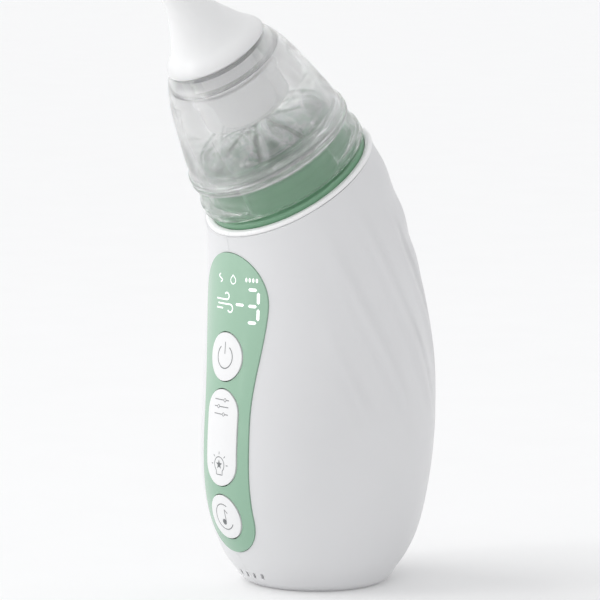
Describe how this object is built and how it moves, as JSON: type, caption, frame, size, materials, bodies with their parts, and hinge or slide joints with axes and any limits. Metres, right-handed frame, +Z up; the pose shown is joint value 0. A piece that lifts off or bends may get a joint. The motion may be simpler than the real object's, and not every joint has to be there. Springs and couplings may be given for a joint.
{
  "type": "nasal aspirator",
  "caption": "Handheld rechargeable nasal aspirator with a leaning clear collection cup, a soft silicone tip, a green control panel and push buttons.",
  "frame": {"origin": "centre of the flat base that the handle stands on", "axes": "+Z up; -Y is the front with the control panel, towards which the head leans; +X is the object's left side as its user faces the panel"},
  "size_m": [0.0556, 0.0842, 0.1594],
  "materials": {
    "white_shell": "satin moulded ABS",
    "white_trim": "satin moulded ABS",
    "green_seat": "glossy pigmented plastic",
    "green_panel": "glossy translucent green acrylic",
    "white_button": "satin moulded ABS",
    "clear_cup": "polished clear copolyester",
    "frosted_sleeve": "frosted translucent plastic",
    "frosted_silicone": "milky translucent silicone",
    "clear_silicone": "translucent silicone",
    "grey_rubber": "soft silicone rubber",
    "black_rubber": "nitrile rubber",
    "grey_plastic": "moulded nylon",
    "black_plastic": "moulded plastic",
    "circuit_board": "solder-masked board",
    "steel": "plated steel",
    "brass": "sintered bronze",
    "magnet": "ferrite",
    "rotor_iron": "laminated iron with enamelled wire",
    "foam": "closed-cell foam tape",
    "battery_wrap": "shrink-wrapped cell"
  },
  "bodies": {
    "handle": {"left_shell": "white_shell", "right_shell": "white_shell", "collar_ring": "white_trim", "foot_pad": "grey_rubber", "cup_seat": "green_seat", "seat_gasket": "clear_silicone", "night_lamp": "circuit_board", "front_panel": "green_panel", "button_pad": "grey_rubber", "tact_switches": "black_plastic", "main_board": "circuit_board", "display_module": "white_trim", "speaker": "black_plastic", "charge_board": "circuit_board", "charge_port": "steel", "chassis": "grey_plastic", "chassis_screws": "steel", "battery_foam": "foam", "battery_cell": "battery_wrap", "motor_can": "steel", "motor_bushes": "brass", "motor_magnets": "magnet", "motor_end_cap": "black_plastic", "pump_body": "grey_plastic", "pump_diaphragm": "black_rubber", "valve_plate": "grey_plastic", "valve_flaps": "black_rubber", "pump_head": "grey_plastic", "pump_screws": "steel", "suction_hose": "clear_silicone", "exhaust_hose": "clear_silicone"},
    "rotor": {"rotor_core": "rotor_iron", "motor_shaft": "steel", "eccentric": "grey_plastic", "crank_pin": "steel"},
    "spider": {"wobble_spider": "grey_plastic"},
    "cup": {"collection_cup": "clear_cup", "cup_base": "clear_cup", "baffle_cap": "clear_cup", "inner_sleeve": "frosted_sleeve", "tip_collar": "frosted_silicone"},
    "tip": {"silicone_tip": "frosted_silicone"},
    "power_key": {"power_button": "white_button"},
    "rocker_key": {"rocker_button": "white_button"},
    "music_key": {"music_button": "white_button"}
  },
  "joints": [
    {"name": "cup_lift_off", "type": "slide", "parent": "handle", "child": "cup", "axis": [0, -0.5664, 0.8241], "range_m": [0, 0.045]},
    {"name": "tip_pull_off", "type": "slide", "parent": "cup", "child": "tip", "axis": [0, -0.5664, 0.8241], "range_m": [0, 0.02]},
    {"name": "power_press", "type": "slide", "parent": "handle", "child": "power_key", "axis": [0, 1, 0], "range_m": [0, 0.0004], "stiffness_N_per_m": 900},
    {"name": "rocker_tilt", "type": "hinge", "parent": "handle", "child": "rocker_key", "pos_m": [0, -0.0276, 0.0385], "axis": [1, 0, 0], "range_deg": [-2.5, 2.5], "stiffness_Nm_per_rad": 0.15},
    {"name": "music_press", "type": "slide", "parent": "handle", "child": "music_key", "axis": [0, 1, 0], "range_m": [0, 0.0004], "stiffness_N_per_m": 900},
    {"name": "motor_spin", "type": "hinge", "parent": "handle", "child": "rotor", "pos_m": [0, -0.008, 0.03], "axis": [0, 0, 1], "continuous": true},
    {"name": "spider_wobble", "type": "hinge", "parent": "rotor", "child": "spider", "pos_m": [0, -0.008, 0.059], "axis": [0, -0.1045, 0.9945], "continuous": true}
  ],
  "couplings": [
    {"joint": "spider_wobble", "follows": "motor_spin", "ratio": -1}
  ]
}
